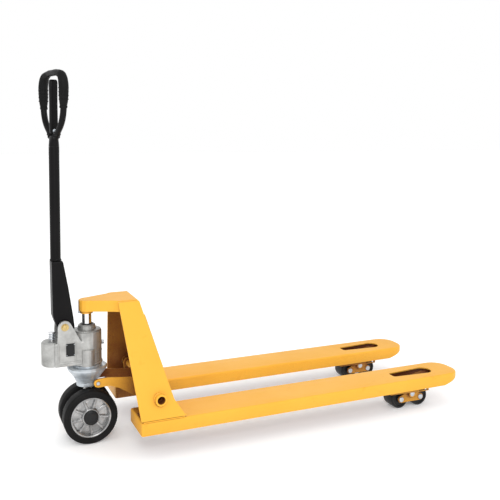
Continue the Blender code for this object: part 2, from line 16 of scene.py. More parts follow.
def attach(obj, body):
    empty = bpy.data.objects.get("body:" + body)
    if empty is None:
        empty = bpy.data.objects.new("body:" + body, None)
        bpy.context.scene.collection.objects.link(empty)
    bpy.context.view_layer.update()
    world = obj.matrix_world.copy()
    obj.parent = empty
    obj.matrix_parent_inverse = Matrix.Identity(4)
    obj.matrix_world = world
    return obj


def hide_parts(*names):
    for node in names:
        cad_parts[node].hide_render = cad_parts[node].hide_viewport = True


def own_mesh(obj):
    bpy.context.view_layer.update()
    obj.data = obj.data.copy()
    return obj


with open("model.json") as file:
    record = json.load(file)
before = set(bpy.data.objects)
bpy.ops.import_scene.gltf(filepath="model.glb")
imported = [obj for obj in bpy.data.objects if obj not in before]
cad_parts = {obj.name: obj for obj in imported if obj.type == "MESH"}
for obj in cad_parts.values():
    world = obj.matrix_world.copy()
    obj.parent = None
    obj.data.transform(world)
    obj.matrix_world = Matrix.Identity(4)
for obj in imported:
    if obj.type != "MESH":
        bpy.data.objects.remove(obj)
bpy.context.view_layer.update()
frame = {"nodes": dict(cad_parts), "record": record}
NODES = frame["nodes"]
X0 = -0.6125
SIDES = (("left", 1), ("right", -1))
TURNS = {"x": Matrix.Rotation(math.pi / 2, 4, "Y"), "y": Matrix.Rotation(-math.pi / 2, 4, "X"),
         "z": Matrix.Identity(4)}
random.seed(11)


# ---- materials ----------------------------------------------------------------------------
class Graph:
    """A material's node tree with short calls for the nodes used here."""

    def __init__(self, name):
        self.mat = bpy.data.materials.new(name)
        self.mat.use_nodes = True
        self.tree = self.mat.node_tree
        self.shader = self.tree.nodes["Principled BSDF"]
        self.coords = self.add("ShaderNodeTexCoord").outputs["Object"]

    def add(self, kind, **settings):
        node = self.tree.nodes.new(kind)
        for key, value in settings.items():
            setattr(node, key, value)
        return node

    def link(self, a, b):
        self.tree.links.new(a, b)

    def noise(self, scale, detail=3.0, rough=0.55, stretch=None):
        node = self.add("ShaderNodeTexNoise")
        node.inputs["Scale"].default_value = scale
        node.inputs["Detail"].default_value = detail
        node.inputs["Roughness"].default_value = rough
        source = self.coords
        if stretch:
            mapping = self.add("ShaderNodeMapping")
            mapping.inputs["Scale"].default_value = stretch
            self.link(self.coords, mapping.inputs["Vector"])
            source = mapping.outputs["Vector"]
        self.link(source, node.inputs["Vector"])
        return node.outputs["Fac"]

    def remap(self, value, low, high, to_low=0.0, to_high=1.0):
        node = self.add("ShaderNodeMapRange")
        for socket, number in zip(("From Min", "From Max", "To Min", "To Max"),
                                  (low, high, to_low, to_high)):
            node.inputs[socket].default_value = number
        self.link(value, node.inputs["Value"])
        return node.outputs["Result"]

    def math(self, op, a, b):
        node = self.add("ShaderNodeMath", operation=op)
        for socket, value in zip(node.inputs, (a, b)):
            if isinstance(value, (int, float)):
                socket.default_value = value
            else:
                self.link(value, socket)
        return node.outputs[0]

    def blend(self, fac, a, b):
        node = self.add("ShaderNodeMix", data_type="RGBA")
        self.link(fac, node.inputs["Factor"])
        for socket, value in ((node.inputs[6], a), (node.inputs[7], b)):
            if isinstance(value, tuple):
                socket.default_value = (*value, 1.0)
            else:
                self.link(value, socket)
        return node.outputs[2]

    def edges(self, radius):
        """1 on sharp outer edges, 0 on flat faces."""
        bevel = self.add("ShaderNodeBevel", samples=6)
        bevel.inputs["Radius"].default_value = radius
        geo = self.add("ShaderNodeNewGeometry")
        dot = self.add("ShaderNodeVectorMath", operation="DOT_PRODUCT")
        self.link(bevel.outputs["Normal"], dot.inputs[0])
        self.link(geo.outputs["Normal"], dot.inputs[1])
        return self.remap(dot.outputs["Value"], 0.985, 0.80)

    def bump(self, height, strength, distance):
        node = self.add("ShaderNodeBump")
        node.inputs["Strength"].default_value = strength
        node.inputs["Distance"].default_value = distance
        self.link(height, node.inputs["Height"])
        self.link(node.outputs["Normal"], self.shader.inputs["Normal"])


def finish_material(name, light, dark, rough, metal=0.0, patch=6.0, grain=400.0, bump=0.15,
                    depth=0.0004, wear=None, wear_radius=0.002, wear_amount=0.5, coat=0.0,
                    stretch=None, dirt=None, rough_span=0.08, specular=None, painted_hollow_shade=None):
    """A finish with patchy colour, varied roughness, fine grain and rubbed edges, and, where asked, painted
    shade that darkens the colour in hollows and under parts.
    """
    g = Graph(name)
    patches = g.noise(patch, 5.0, 0.6)
    fine = g.noise(grain, 2.0, 0.6, stretch)
    colour = g.blend(g.remap(patches, 0.30, 0.70), dark, light)
    if dirt:
        spots = g.remap(g.noise(patch * 5.0, 6.0, 0.75), 0.60, 0.78)
        colour = g.blend(g.math("MULTIPLY", spots, 0.55), colour, dirt)
    roughness = g.math("ADD", g.remap(patches, 0.3, 0.7, rough + rough_span, rough - rough_span),
                       g.remap(fine, 0.3, 0.7, -0.03, 0.03))
    # Painted shade: ambient occlusion blends the colour towards a dark brown in hollows, under parts and
    # between them, where shade falls.
    if painted_hollow_shade:
        painted_shade_ao = g.add("ShaderNodeAmbientOcclusion", samples=8)
        painted_shade_ao.inputs["Distance"].default_value = 0.30
        colour = g.blend(g.remap(painted_shade_ao.outputs["AO"], 0.62, 0.24, 0.0, 0.92), colour, painted_hollow_shade)
    if wear:
        rubbed = g.math("MULTIPLY", g.edges(wear_radius),
                        g.remap(g.noise(70.0, 4.0, 0.7), 0.48, 0.66, 0.0, wear_amount))
        colour = g.blend(rubbed, colour, wear)
    g.link(colour, g.shader.inputs["Base Color"])
    g.link(roughness, g.shader.inputs["Roughness"])
    g.shader.inputs["Metallic"].default_value = metal
    if coat:
        g.shader.inputs["Coat Weight"].default_value = coat
        g.shader.inputs["Coat Roughness"].default_value = 0.12
    if specular is not None:
        g.shader.inputs["Specular IOR Level"].default_value = specular
    g.bump(fine, bump, depth)
    return g.mat


MATS = {
    "yellow_paint": finish_material("paint_yellow", (0.84, 0.430, 0.050), (0.79, 0.385, 0.040), 0.42,
                                    patch=3.0, grain=260.0, bump=0.10, wear=(0.93, 0.60, 0.16),
                                    wear_radius=0.0022, wear_amount=0.7, coat=0.04,
                                    dirt=(0.70, 0.25, 0.012), specular=0.14,
                                    # Painted shade: the yellow paint turns dark brown in hollows and under
                                    # parts.
                                    painted_hollow_shade=(0.13, 0.026, 0.017)),
    "zinc_plate": finish_material("zinc", (0.60, 0.64, 0.67), (0.42, 0.46, 0.50), 0.38, 0.70,
                                  patch=30.0, grain=700.0, wear=(0.85, 0.86, 0.88)),
    "cast_silver": finish_material("cast_silver", (0.50, 0.50, 0.485), (0.28, 0.28, 0.27), 0.42, 0.70,
                                   patch=22.0, grain=330.0, bump=0.55, depth=0.0009,
                                   wear=(0.70, 0.70, 0.69), wear_amount=0.8, dirt=(0.09, 0.085, 0.08)),
    "chrome_rod": finish_material("chrome", (0.80, 0.80, 0.81), (0.70, 0.70, 0.72), 0.13, 1.0,
                                  patch=40.0, grain=900.0, bump=0.05, stretch=(1.0, 1.0, 12.0),
                                  rough_span=0.04),
    "black_paint": finish_material("paint_black", (0.0065, 0.006, 0.0065), (0.004, 0.0038, 0.004), 0.36,
                                   patch=8.0, grain=420.0, bump=0.22, wear=(0.14, 0.14, 0.145),
                                   wear_amount=0.5, coat=0.0, specular=0.10),
    "black_rubber": finish_material("grip_rubber", (0.008, 0.0078, 0.008), (0.005, 0.005, 0.005), 0.62,
                                    patch=18.0, grain=900.0, bump=0.5, wear=(0.03, 0.03, 0.03),
                                    specular=0.12),
    "tyre_rubber": finish_material("tyre_rubber", (0.009, 0.0086, 0.0086), (0.0055, 0.0055, 0.0055), 0.58,
                                   patch=24.0, grain=620.0, bump=0.45, dirt=(0.020, 0.018, 0.016),
                                   wear=(0.03, 0.029, 0.028), specular=0.14),
    "roller_black": finish_material("roller_black", (0.009, 0.0088, 0.009), (0.006, 0.006, 0.006), 0.40,
                                    patch=30.0, grain=500.0, bump=0.2, dirt=(0.025, 0.022, 0.02),
                                    wear=(0.04, 0.038, 0.035), specular=0.3),
    "wheel_aluminium": finish_material("wheel_aluminium", (0.50, 0.50, 0.50), (0.26, 0.26, 0.26), 0.26,
                                       0.9, patch=30.0, grain=520.0, bump=0.25,
                                       wear=(0.9, 0.9, 0.9), dirt=(0.30, 0.29, 0.28)),
    "black_plastic": finish_material("black_plastic", (0.008, 0.008, 0.0085), (0.005, 0.005, 0.0053), 0.38,
                                     patch=26.0, grain=800.0, bump=0.3, wear=(0.03, 0.03, 0.03),
                                     specular=0.3),
    "brass_pin": finish_material("brass_pin", (0.62, 0.47, 0.20), (0.45, 0.33, 0.14), 0.30, 0.9,
                                 patch=60.0, grain=700.0, bump=0.2, wear=(0.8, 0.66, 0.36)),
}


# ---- shape helpers ------------------------------------------------------------------------
def piece(name, bm, slot, body, at=(0, 0, 0), axis="z", smooth=35.0, bevel=0.0, segments=2,
          material=None, replaces=()):
    """A finished mesh piece, placed from local x, riding on a CAD body."""
    mesh = bpy.data.meshes.new(name)
    bmesh.ops.recalc_face_normals(bm, faces=bm.faces)
    bm.transform(Matrix.Translation(Vector((at[0] + X0, at[1], at[2]))) @ TURNS[axis])
    bm.to_mesh(mesh)
    bm.free()
    obj = bpy.data.objects.new(name, mesh)
    bpy.context.scene.collection.objects.link(obj)
    mesh.materials.append(MATS[material or slot])
    mesh.shade_smooth()
    mesh.set_sharp_from_angle(angle=math.radians(smooth))
    if bevel:
        round_edges(obj, bevel, segments)
    if body:
        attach(obj, body)
    if replaces:
        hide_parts(*replaces)
    return obj


def round_edges(obj, width, segments=2, angle=32.0):
    """Rounds the sharp edges of an object, given the width in metres and the angle in degrees."""
    mod = obj.modifiers.new("round", "BEVEL")
    mod.width = width
    mod.segments = segments
    mod.limit_method = "ANGLE"
    mod.angle_limit = math.radians(angle)
    mod.harden_normals = False
    mod.use_clamp_overlap = True
    return mod


def lathe(profile, steps=64, closed=False):
    """A bmesh of (radius, height) points turned about z."""
    bm = bmesh.new()
    rings = []
    for radius, height in profile:
        if radius < 1e-6:
            rings.append([bm.verts.new((0.0, 0.0, height))])
        else:
            rings.append([bm.verts.new((radius * math.cos(2 * math.pi * i / steps),
                                        radius * math.sin(2 * math.pi * i / steps), height))
                          for i in range(steps)])
    pairs = list(zip(rings, rings[1:]))
    if closed:
        pairs.append((rings[-1], rings[0]))
    for a, b in pairs:
        for i in range(steps):
            j = (i + 1) % steps
            if len(a) == 1 and len(b) == 1:
                break
            if len(a) == 1:
                bm.faces.new((a[0], b[i], b[j]))
            elif len(b) == 1:
                bm.faces.new((a[i], a[j], b[0]))
            else:
                bm.faces.new((a[i], a[j], b[j], b[i]))
    return bm


def mirrored(half, shared=0):
    """A profile followed by its mirror image, leaving out the last points that both would share."""
    return half + [(radius, -height) for radius, height in reversed(half[:len(half) - shared])]


def merge(*parts):
    """Several bmeshes as one."""
    out = bmesh.new()
    for part in parts:
        mesh = bpy.data.meshes.new("part")
        part.to_mesh(mesh)
        part.free()
        out.from_mesh(mesh)
        bpy.data.meshes.remove(mesh)
    return out


def prism(outline, low, high):
    """An outline in x, y pushed from low to high along z."""
    bm = bmesh.new()
    bottom = [bm.verts.new((x, y, low)) for x, y in outline]
    top = [bm.verts.new((x, y, high)) for x, y in outline]
    bm.faces.new(bottom[::-1])
    bm.faces.new(top)
    for i in range(len(outline)):
        j = (i + 1) % len(outline)
        bm.faces.new((bottom[i], bottom[j], top[j], top[i]))
    return bm


def arc(cx, cy, radius, start, end, steps):
    """Points along an arc, its start and end in degrees."""
    return [(cx + radius * math.cos(math.radians(start + (end - start) * i / steps)),
             cy + radius * math.sin(math.radians(start + (end - start) * i / steps)))
            for i in range(steps + 1)]


def cut_with(obj, cutters):
    """Cuts bmesh cutters out of obj for good, so that no helper object is left in the scene."""
    helpers = []
    for bm in cutters:
        mesh = bpy.data.meshes.new("cutter")
        bmesh.ops.recalc_face_normals(bm, faces=bm.faces)
        bm.to_mesh(mesh)
        bm.free()
        helper = bpy.data.objects.new("cutter", mesh)
        bpy.context.scene.collection.objects.link(helper)
        mod = obj.modifiers.new("cut", "BOOLEAN")
        mod.operation = "DIFFERENCE"
        mod.solver = "EXACT"
        mod.object = helper
        helpers.append(helper)
    bpy.context.view_layer.update()
    result = bpy.data.meshes.new_from_object(obj.evaluated_get(bpy.context.evaluated_depsgraph_get()))
    obj.modifiers.clear()
    obj.data = result
    result.set_sharp_from_angle(angle=math.radians(35.0))
    for helper in helpers:
        bpy.data.objects.remove(helper, do_unlink=True)


def tube(name, points, radius, slot, body, radii=None, cyclic=False, resolution=10, material=None,
         replaces=()):
    """A round bar along a smooth path, as a mesh, with its own radius at each point."""
    curve = bpy.data.curves.new(name, "CURVE")
    curve.dimensions = "3D"
    curve.bevel_depth = radius
    curve.bevel_resolution = 6
    curve.use_fill_caps = not cyclic
    spline = curve.splines.new("BEZIER")
    spline.bezier_points.add(len(points) - 1)
    spline.use_cyclic_u = cyclic
    spline.resolution_u = resolution
    for i, (point, co) in enumerate(zip(spline.bezier_points, points)):
        point.co = (co[0] + X0, co[1], co[2])
        point.radius = radii[i] if radii else 1.0
        point.handle_left_type = point.handle_right_type = "AUTO"
    helper = bpy.data.objects.new(name + "_path", curve)
    bpy.context.scene.collection.objects.link(helper)
    bpy.context.view_layer.update()
    mesh = bpy.data.meshes.new_from_object(
        helper.evaluated_get(bpy.context.evaluated_depsgraph_get()))
    bpy.data.objects.remove(helper, do_unlink=True)
    bpy.data.curves.remove(curve)
    bm = bmesh.new()
    bm.from_mesh(mesh)
    bpy.data.meshes.remove(mesh)
    bmesh.ops.remove_doubles(bm, verts=bm.verts, dist=1e-6)
    bm.transform(Matrix.Translation((-X0, 0, 0)))
    return piece(name, bm, slot, body, smooth=60.0, material=material, replaces=replaces)


def weld_bead(name, start, end, radius, body):
    """A run of overlapping weld ripples between two points."""
    start, end = Vector(start), Vector(end)
    length = (end - start).length
    steps = max(6, int(length / (radius * 0.55)))
    direction = (end - start).normalized()
    side = direction.orthogonal().normalized()
    other = direction.cross(side)
    around = 10
    bm = bmesh.new()
    rings = []
    for i in range(steps + 1):
        t = i / steps
        swell = radius * (0.86 + 0.16 * (i % 2) + random.uniform(-0.06, 0.06))
        if i in (0, steps):
            swell *= 0.35
        centre = start.lerp(end, t) + Vector([random.uniform(-1, 1) * radius * 0.06 for _ in range(3)])
        rings.append([bm.verts.new(centre + side * swell * math.cos(2 * math.pi * k / around)
                                   + other * swell * math.sin(2 * math.pi * k / around))
                      for k in range(around)])
    for a, b in zip(rings, rings[1:]):
        for k in range(around):
            after = (k + 1) % around
            bm.faces.new((a[k], a[after], b[after], b[k]))
    bm.faces.new(rings[0][::-1])
    bm.faces.new(rings[-1])
    return piece(name, bm, "yellow_paint", body, smooth=70.0)


def hex_head(radius, height, washer=0.0, thread=0.0):
    """A hexagonal head with chamfered corners on a washer, sitting on z = 0."""
    parts = []
    base = 0.0
    if washer:
        base = 0.0012
        parts.append(lathe([(0.0, 0.0), (washer - 0.0002, 0.0), (washer, 0.0002), (washer, base - 0.0003),
                            (washer - 0.0003, base), (0.0, base)], 40))
    body = prism([(radius * math.cos(math.radians(60 * i)), radius * math.sin(math.radians(60 * i)))
                  for i in range(6)], base, base + height)
    bmesh.ops.bevel(body, geom=body.edges[:], offset=radius * 0.07, segments=2, affect="EDGES")
    parts.append(body)
    if thread:
        parts.append(lathe([(0.0, base), (thread, base), (thread, base + height * 1.35),
                            (thread * 0.8, base + height * 1.45), (0.0, base + height * 1.45)], 24))
    return merge(*parts)


def flip(bm):
    """The same piece facing the other way along z."""
    bm.transform(Matrix.Rotation(math.pi, 4, "X"))
    return bm


# ---- forks --------------------------------------------------------------------------------
FORK_Y, FORK_TOP, FORK_SIDE, FORK_STEEL = 0.181, 0.120, 0.042, 0.004
HEEL_X, TIP_X, FORK_HALF = 0.120, 1.375, 0.075


def fork_plan(inset, corner=0.0):
    """A fork's outline from above, square at the heel and round at the tip, drawn in by inset."""
    half = FORK_HALF - inset
    nose = 0.060 - inset
    heel = max(0.0005, corner - inset)
    points = arc(HEEL_X + inset + heel, -half + heel, heel, 270, 180, 5)
    points += arc(HEEL_X + inset + heel, half - heel, heel, 180, 90, 5)
    for y, start in ((half - nose, 90), (-(half - nose), 0)):
        points += arc(TIP_X - inset - nose, y, nose, start, start - 90, 14)
    return points


def stacked(rings):
    """A closed skin through rings of equal length, capped at both ends."""
    bm = bmesh.new()
    rows = [[bm.verts.new(p) for p in ring] for ring in rings]
    for a, b in zip(rows, rows[1:]):
        for i in range(len(a)):
            j = (i + 1) % len(a)
            bm.faces.new((a[i], a[j], b[j], b[i]))
    bm.faces.new(rows[0][::-1])
    bm.faces.new(rows[-1])
    return bm


def make_fork(side, sign):
    """A pressed fork: rounded shoulders, hollow below, slots for the lever and the rollers."""
    low, radius = FORK_TOP - FORK_SIDE, 0.0065
    rings = [[(x, y, low) for x, y in fork_plan(0.0, 0.008)]]
    for i in range(7):
        angle = math.radians(15 * i)
        inset = radius * (1 - math.cos(angle))
        rings.append([(x, y, FORK_TOP - radius + radius * math.sin(angle))
                      for x, y in fork_plan(inset, 0.008)])
    name = "fork_skin_" + side
    obj = piece(name, stacked(rings), "yellow_paint", None, (0, sign * FORK_Y, 0))
    at = Matrix.Translation((X0, sign * FORK_Y, 0))
    hollow = stacked([[(x, y, z) for x, y in fork_plan(inset, 0.008)] for inset, z in
                      ((FORK_STEEL, low - 0.01), (FORK_STEEL, FORK_TOP - 0.0085),
                       (0.0052, FORK_TOP - 0.0055), (0.0080, FORK_TOP - FORK_STEEL))])
    slot_plan = (arc(1.245, 0, 0.033, 85, -85, 18) + arc(1.112, -0.011, 0.010, -85, -180, 8)
                 + arc(1.112, 0.011, 0.010, 180, 85, 8))
    lever_plan = (arc(0.238, 0.016, 0.005, 90, 0, 4) + arc(0.238, -0.016, 0.005, 0, -90, 4)
                  + arc(0.133, -0.016, 0.005, -90, -180, 4) + arc(0.133, 0.016, 0.005, 180, 90, 4))
    ramp = prism([(1.285, low - 0.01), (1.295, low), (1.40, low + 0.034), (1.40, low - 0.01)], -0.1, 0.1)
    ramp.transform(Matrix.Rotation(math.pi / 2, 4, "X"))
    cutters = [hollow, prism(slot_plan, 0.09, 0.14), prism(lever_plan, 0.09, 0.14), ramp]
    for bm in cutters:
        bm.transform(at)
    cut_with(obj, cutters)
    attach(obj, "fork_frame")
    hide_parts("fork_" + side)


# ---- wheels -------------------------------------------------------------------------------
WHEEL_R, WHEEL_Y, HUB_FACE_Y = 0.089, 0.042, 0.0657
ROLLER_R, REAR_ROLLER_X, FRONT_ROLLER_X = 0.036, 1.122, 1.208
TANDEM_X, TANDEM_Z = 1.165, 0.055
RIBS = 9


def make_steer_wheel(side, sign):
    """A tyre on a ribbed cast rim, with a hub cover on its outer face."""
    body = "steer_wheel_" + side
    at = (0, sign * WHEEL_Y, WHEEL_R)
    r, h = WHEEL_R, 0.023
    tyre = [(0.0660, h - 0.0008), (0.0668, h), (0.0735, h), (0.0742, h - 0.0006), (0.0752, h - 0.0006),
            (0.0759, h), (0.0828, h - 0.0002)]
    shoulder = [(0.0832 + 0.0056 * math.sin(math.radians(a)), h - 0.0062 + 0.0056 * math.cos(math.radians(a)))
                for a in range(8, 89, 10)]
    tread = [(r, h - 0.0068), (r, 0.0)]
    half = tyre + shoulder + tread
    ring = mirrored(half, 1)
    piece("tyre_" + side, lathe(ring, 120, True), "tyre_rubber", body, at, "y", 30.0,
          replaces=["steer_tyre_" + side])
    lip = [(0.0658, h - 0.0010), (0.0630, h - 0.0004), (0.0612, h - 0.0012), (0.0604, h - 0.0040),
           (0.0590, 0.0085), (0.0578, 0.0070)]
    rim = mirrored(lip)
    hub = [(0.0105, h - 0.0035), (0.0262, h - 0.0035), (0.0282, h - 0.0050), (0.0300, 0.0075)]
    hub = mirrored(hub)
    web = [(0.0280, 0.0050), (0.0592, 0.0030), (0.0592, -0.0030), (0.0280, -0.0050)]
    parts = [lathe(web, 120, True)]
    for i in range(RIBS):
        for face in (-1, 1):
            rib = stacked([[(0.0265, -w, z * face), (0.0595, -w * 0.72, z * face),
                            (0.0595, w * 0.72, z * face), (0.0265, w, z * face)]
                           for w, z in ((0.0052, 0.0040), (0.0044, 0.0110), (0.0034, 0.0122))])
            bmesh.ops.recalc_face_normals(rib, faces=rib.faces)
            rib.transform(Matrix.Rotation(math.radians(40 * i + 8), 4, "Z"))
            parts.append(rib)
    piece("rim_" + side, merge(*parts), "wheel_aluminium", body, at, "y", 30.0, 0.0005, 2,
          replaces=["steer_rim_" + side])
    for i in range(RIBS):
        dish = lathe([(0.0, 0.0006), (0.0030, 0.0005), (0.0040, 0.0), (0.0040, -0.0008), (0.0, -0.0008)],
                     24)
        dish.transform(Matrix.Rotation(math.radians(40 * i + 28), 4, "Z")
                       @ Matrix.Translation((0.0445, 0.0, 0.0044)))
        if sign < 0:
            flip(dish)
        piece("rim_boss_%s_%d" % (side, i), dish, "wheel_aluminium", body, at, "y")
    piece("rim_ring_" + side, lathe(rim, 120, True), "wheel_aluminium", body, at, "y", 30.0)
    piece("rim_hub_" + side, lathe(hub, 96, True), "wheel_aluminium", body, at, "y", 30.0)
    cap = [(0.0, 0.0057), (0.0130, 0.0056), (0.0160, 0.0050), (0.0172, 0.0038), (0.0188, 0.0036),
           (0.0212, 0.0032), (0.0236, 0.0018), (0.0243, -0.0005), (0.0243, -0.0034), (0.0, -0.0034)]
    cover = lathe(cap, 72)
    if sign < 0:
        flip(cover)
    piece("hub_cover_" + side, cover, "black_plastic", body, (0, sign * HUB_FACE_Y, WHEEL_R), "y", 24.0,
          replaces=["hub_cap_" + side])


def make_load_rollers(side, sign):
    """Both rollers of one tandem, their bearing rings, and the heads of the tandem's pin."""
    y = sign * FORK_Y
    for end, x in (("rear", REAR_ROLLER_X), ("front", FRONT_ROLLER_X)):
        body = "roller_%s_%s" % (side, end)
        half = [(0.0072, 0.0285), (0.0105, 0.0290), (0.0150, 0.0288), (0.0156, 0.0262), (0.0262, 0.0262),
                (0.0276, 0.0290), (0.0312, 0.0300), (0.0338, 0.0294), (0.0354, 0.0272), (0.0360, 0.0240),
                (0.0360, 0.0)]
        ring = mirrored(half, 1)
        piece("roller_%s_%s" % (side, end), lathe(ring, 96, True), "roller_black", body,
              (x, y, ROLLER_R), "y", 28.0, replaces=["load_roller_%s_%s" % (side, end)])
        for i, way in enumerate((-1, 1)):
            race = lathe([(0.0070, 0.0), (0.0098, 0.0), (0.0098, 0.0012), (0.0070, 0.0012)], 40, True)
            piece("bearing_%s_%s_%d" % (side, end, i), race, "zinc_plate", body,
                  (x, y + way * 0.0296 - 0.0006, ROLLER_R), "y")
    for i, way in enumerate((-1, 1)):
        head = lathe([(0.0, 0.0012), (0.0045, 0.0012), (0.0060, 0.0009), (0.0086, 0.0008),
                      (0.0095, 0.0002), (0.0095, -0.0010), (0.0, -0.0010)], 36)
        if way < 0:
            flip(head)
        piece("tandem_head_%s_%d" % (side, i), head, "zinc_plate", "roller_frame_" + side,
              (TANDEM_X, y + way * 0.0480, TANDEM_Z), "y")


# ---- handle -------------------------------------------------------------------------------
HANDLE_X, GUIDE_Z, TWIST = -0.099, 1.036, math.radians(14)


def twisted(y, z, x=0.0):
    """A point beside the handle's centre line, turned with the grip loop."""
    return (HANDLE_X + x * math.cos(TWIST) - y * math.sin(TWIST),
            x * math.sin(TWIST) + y * math.cos(TWIST), z)


def turn_with_loop(bm):
    """The same piece turned by the loop's angle on the shaft."""
    bm.transform(Matrix.Rotation(TWIST, 4, "Z"))
    return bm


def make_handle():
    """The grip loop with its grips, the lever inside it, and the shaft's welds."""
    half = [(0.014, 1.012, 0.82), (0.034, 1.032, 0.82), (0.063, 1.060, 0.84), (0.079, 1.092, 0.85),
            (0.083, 1.128, 0.86), (0.084, 1.160, 0.92), (0.083, 1.190, 0.96), (0.070, 1.2135, 0.96),
            (0.036, 1.2235, 0.88)]
    path = half + [(0.0, 1.2245, 0.88)] + [(-y, z, r) for y, z, r in reversed(half)]
    tube("loop", [twisted(y, z) for y, z, r in path], 0.0120, "black_rubber", "handle",
         [r for y, z, r in path], False, 10, replaces=["handle_loop"], material="black_paint")
    for side, sign in SIDES:
        grip = [(0.0815, 1.112), (0.0830, 1.128), (0.0840, 1.150), (0.0838, 1.186), (0.0715, 1.2115),
                (0.0500, 1.2200), (0.0340, 1.2232)]
        radii = [0.86, 1.08, 1.22, 1.26, 1.18, 0.98, 0.84]
        tube("grip_" + side, [twisted(sign * y, z) for y, z in grip], 0.0125, "black_rubber", "handle",
             radii)
        for i, z in enumerate((1.136, 1.148, 1.160, 1.172)):
            radius = 0.0125 * (1.18 + 0.06 * i / 3)
            ring = lathe([(radius, -0.0017), (radius + 0.0012, -0.0008), (radius + 0.0012, 0.0008),
                          (radius, 0.0017), (0.0110, 0.0017), (0.0110, -0.0017)], 48, True)
            piece("grip_rib_%s_%d" % (side, i), ring, "black_rubber", "handle",
                  twisted(sign * 0.0838, z))
        cuff = lathe([(0.0104, -0.004), (0.0124, -0.003), (0.0128, 0.003), (0.0110, 0.004)], 48, True)
        piece("grip_cuff_" + side, cuff, "black_rubber", "handle", twisted(sign * 0.0814, 1.112))
        for top, (y, z, lean) in enumerate(((0.0215, 1.0195, 50), (0.0300, 1.0275, 48))):
            bead = lathe([(0.0096, -0.0015), (0.0124 - 0.001 * top, 0.0), (0.0096, 0.0015)], 40, True)
            bead.transform(Matrix.Rotation(math.radians(-sign * lean), 4, "X"))
            piece("leg_weld_%s_%d" % (side, top), turn_with_loop(bead), "black_paint", "handle",
                  twisted(sign * y, z))
    lever = [(GUIDE_Z - 0.0075, 0.0072, 0.0110), (GUIDE_Z - 0.003, 0.0084, 0.0132),
             (GUIDE_Z + 0.030, 0.0078, 0.0132), (GUIDE_Z + 0.090, 0.0078, 0.0128),
             (GUIDE_Z + 0.135, 0.0092, 0.0132), (1.1930, 0.0098, 0.0134), (1.2005, 0.0085, 0.0120),
             (1.2030, 0.0060, 0.0095)]
    rows = []
    for z, across, along in lever:
        row = []
        for a in range(0, 360, 12):
            c, n = math.cos(math.radians(a)), math.sin(math.radians(a))
            row.append((along * math.copysign(abs(c) ** 0.45, c), across * math.copysign(abs(n) ** 0.45, n),
                        z))
        rows.append(row)
    piece("lever_blade", turn_with_loop(stacked(rows)), "black_paint", "control_lever",
          (HANDLE_X, 0, 0), smooth=50.0, replaces=["control_lever"])
    for i, sign in enumerate((-1, 1)):
        stud = hex_head(0.0050, 0.0026, 0.0064)
        stud.transform(TURNS["y"])
        if sign < 0:
            stud.transform(Matrix.Rotation(math.pi, 4, "Z"))
        piece("lever_bolt_%d" % i, turn_with_loop(stud), "zinc_plate", "control_lever",
              twisted(sign * 0.0078, GUIDE_Z))
    rows = []
    for z, along, across in ((0.9853, 0.0168, 0.0168), (0.9940, 0.0160, 0.0178), (1.0050, 0.0142, 0.0212),
                             (1.0140, 0.0126, 0.0250), (1.0190, 0.0118, 0.0270), (1.0202, 0.0100, 0.0255)):
        rows.append([(along * math.cos(math.radians(a)), across * math.sin(math.radians(a)), z)
                     for a in range(0, 360, 10)])
    piece("shaft_fork", turn_with_loop(stacked(rows)), "black_paint", "handle", (HANDLE_X, 0, 0),
          smooth=50.0, replaces=["handle_head"])
    foot = lathe([(0.0171, 0.6112), (0.0192, 0.6116), (0.0188, 0.6150), (0.0171, 0.6168)], 64, True)
    piece("shaft_weld", foot, "black_paint", "handle", (HANDLE_X, 0, 0))
    seam = prism([(0.0168, -0.0011), (0.0181, -0.0007), (0.0181, 0.0007), (0.0168, 0.0011)], 0.6165, 0.968)
    seam.transform(Matrix.Rotation(math.radians(150), 4, "Z"))
    piece("shaft_seam", seam, "black_paint", "handle", (HANDLE_X, 0, 0))


# ---- pump and frame details ---------------------------------------------------------------
def make_pump_spring():
    """The plunger's spring, a fixed coil of wire standing just above its seat."""
    x, seat, low, rise, turns, per_turn = -0.1145, 0.3452, 0.3463, 0.0220, 4, 12
    radius = 0.0100
    coil = []
    for i in range(turns * per_turn + 1):
        angle = 2 * math.pi * i / per_turn
        coil.append((x + radius * math.cos(angle), radius * math.sin(angle),
                     low + rise * i / (turns * per_turn)))
    spring = tube("plunger_coil", coil, 0.0011, "zinc_plate", "steering", None, False, 3,
                  replaces=["pump_spring"])
    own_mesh(spring)


